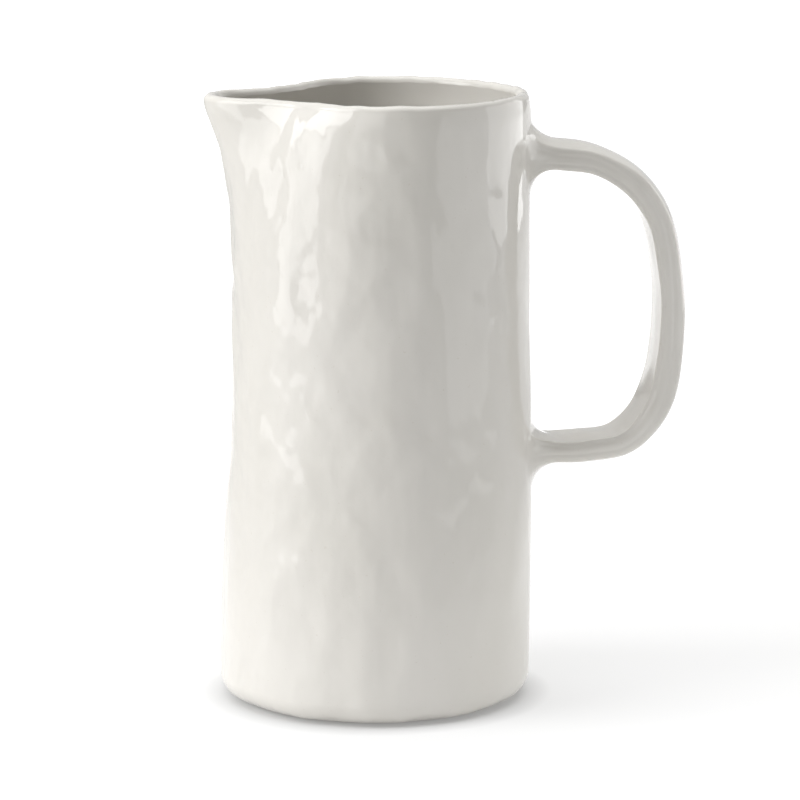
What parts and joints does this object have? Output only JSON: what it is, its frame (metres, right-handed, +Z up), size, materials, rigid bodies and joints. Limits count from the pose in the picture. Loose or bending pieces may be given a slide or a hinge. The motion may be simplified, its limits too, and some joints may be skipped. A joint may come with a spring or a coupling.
{
  "type": "ceramic pitcher",
  "caption": "Tall hand-built glazed ceramic pitcher with a drawn-out pouring spout, a strap handle on two flared joints and a bare clay foot ring.",
  "frame": {"origin": "middle of the bounding box at table level, in the plane of the foot ring's underside", "axes": "+Z up, spout towards -X, handle towards +X, the pitcher's plane of symmetry is XZ"},
  "size_m": [0.1714, 0.1116, 0.217],
  "materials": {
    "glaze": "glossy warm off-white glaze over stoneware",
    "bare_clay": "matte unglazed stoneware, slightly sandy"
  },
  "bodies": {
    "root": {"body_wall": "glaze", "base_slab": "glaze", "foot_ring": "bare_clay", "handle_strap": "glaze", "upper_handle_joint": "glaze", "lower_handle_joint": "glaze"}
  },
  "joints": []
}
